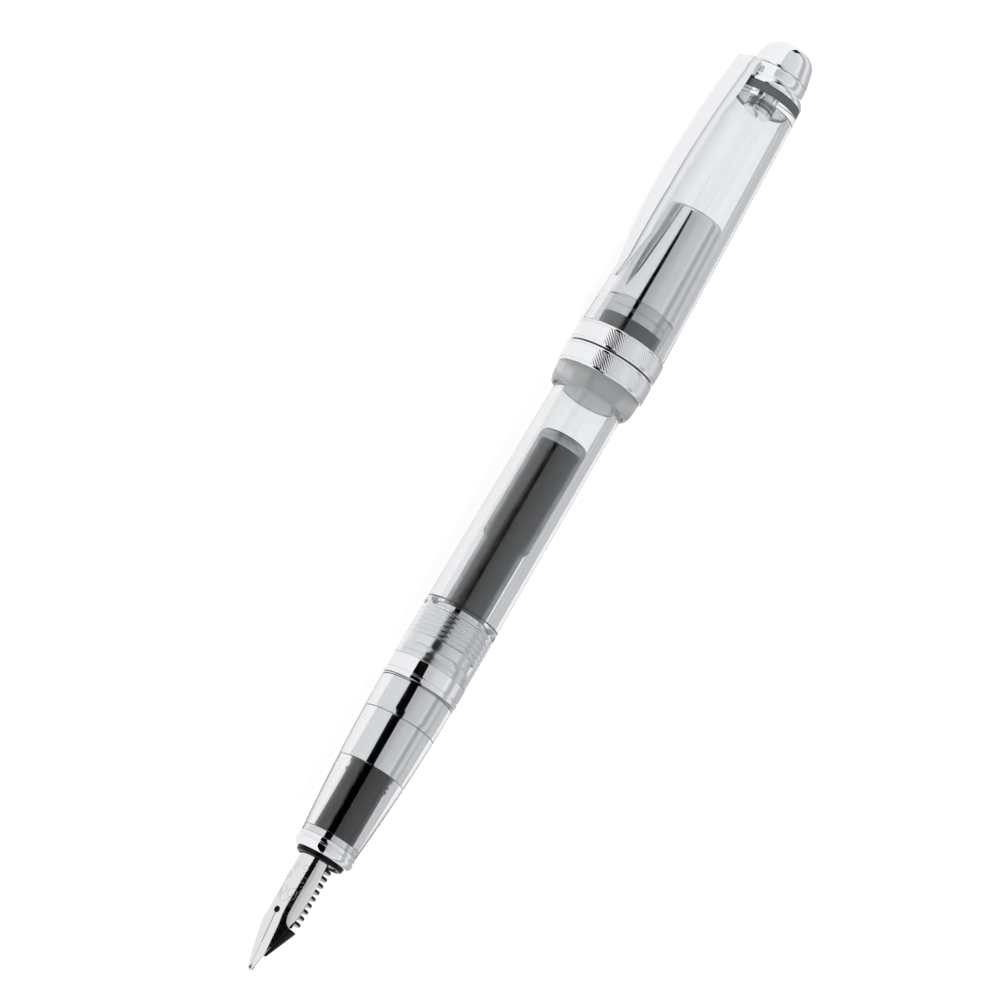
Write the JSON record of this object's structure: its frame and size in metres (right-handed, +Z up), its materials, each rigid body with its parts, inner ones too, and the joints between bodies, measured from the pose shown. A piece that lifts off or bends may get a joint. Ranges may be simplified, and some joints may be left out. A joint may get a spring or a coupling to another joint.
{
  "type": "fountain pen",
  "caption": "Clear-bodied cartridge fountain pen with bright metal fittings, steel nib, pocket clip, and the cap posted on the back of the barrel.",
  "frame": {"origin": "under the middle of the pen, on the surface that it lies on", "axes": "+X along the pen from nib to finial, +Z up; the pen lies on its cap bands and on one edge of the clip"},
  "size_m": [0.15, 0.0142, 0.0133],
  "materials": {
    "clear_resin": "clear polished moulding",
    "chrome_plate": "polished plate",
    "nib_steel": "polished stainless sheet with a fine engraved scroll",
    "black_plastic": "moulded, satin",
    "tube_plastic": "moulded",
    "seal_rubber": "smooth",
    "cartridge_plastic": "translucent moulding",
    "black_ink": "liquid"
  },
  "bodies": {
    "grip": {"grip_section": "clear_resin", "section_front_ring": "chrome_plate", "section_sleeve": "chrome_plate", "section_trim_ring": "chrome_plate", "threaded_coupling": "chrome_plate"},
    "nib_unit": {"nib": "nib_steel", "nib_tipping": "nib_steel", "feed": "black_plastic", "nib_housing": "black_plastic", "piercing_tube": "tube_plastic"},
    "cartridge": {"cartridge_shell": "cartridge_plastic", "cartridge_ink": "black_ink", "cartridge_ball": "cartridge_plastic"},
    "barrel": {"barrel": "clear_resin", "barrel_tail": "chrome_plate", "tail_seal_ring": "seal_rubber"},
    "cap": {"cap_tube": "clear_resin", "cap_mouth_ring": "clear_resin", "cap_band_lower": "chrome_plate", "cap_band_upper": "chrome_plate", "cap_gasket": "seal_rubber", "clip_collar": "chrome_plate", "finial": "chrome_plate", "finial_screw": "chrome_plate"},
    "clip": {"clip": "chrome_plate"}
  },
  "joints": [
    {"name": "barrel_unscrew", "type": "slide", "parent": "grip", "child": "barrel", "axis": [1, 0, 0], "range_m": [0, 0.045]},
    {"name": "cap_pull", "type": "slide", "parent": "barrel", "child": "cap", "axis": [1, 0, 0], "range_m": [0, 0.034]},
    {"name": "nib_unit_unscrew", "type": "slide", "parent": "grip", "child": "nib_unit", "axis": [-1, 0, 0], "range_m": [0, 0.018]},
    {"name": "cartridge_pull", "type": "slide", "parent": "grip", "child": "cartridge", "axis": [1, 0, 0], "range_m": [0, 0.012]},
    {"name": "clip_flex", "type": "hinge", "parent": "cap", "child": "clip", "pos_m": [0.0682, 0.00361, 0.00335], "axis": [0, -0.636, -0.7717], "range_deg": [0, 4], "stiffness_Nm_per_rad": 1.4}
  ]
}
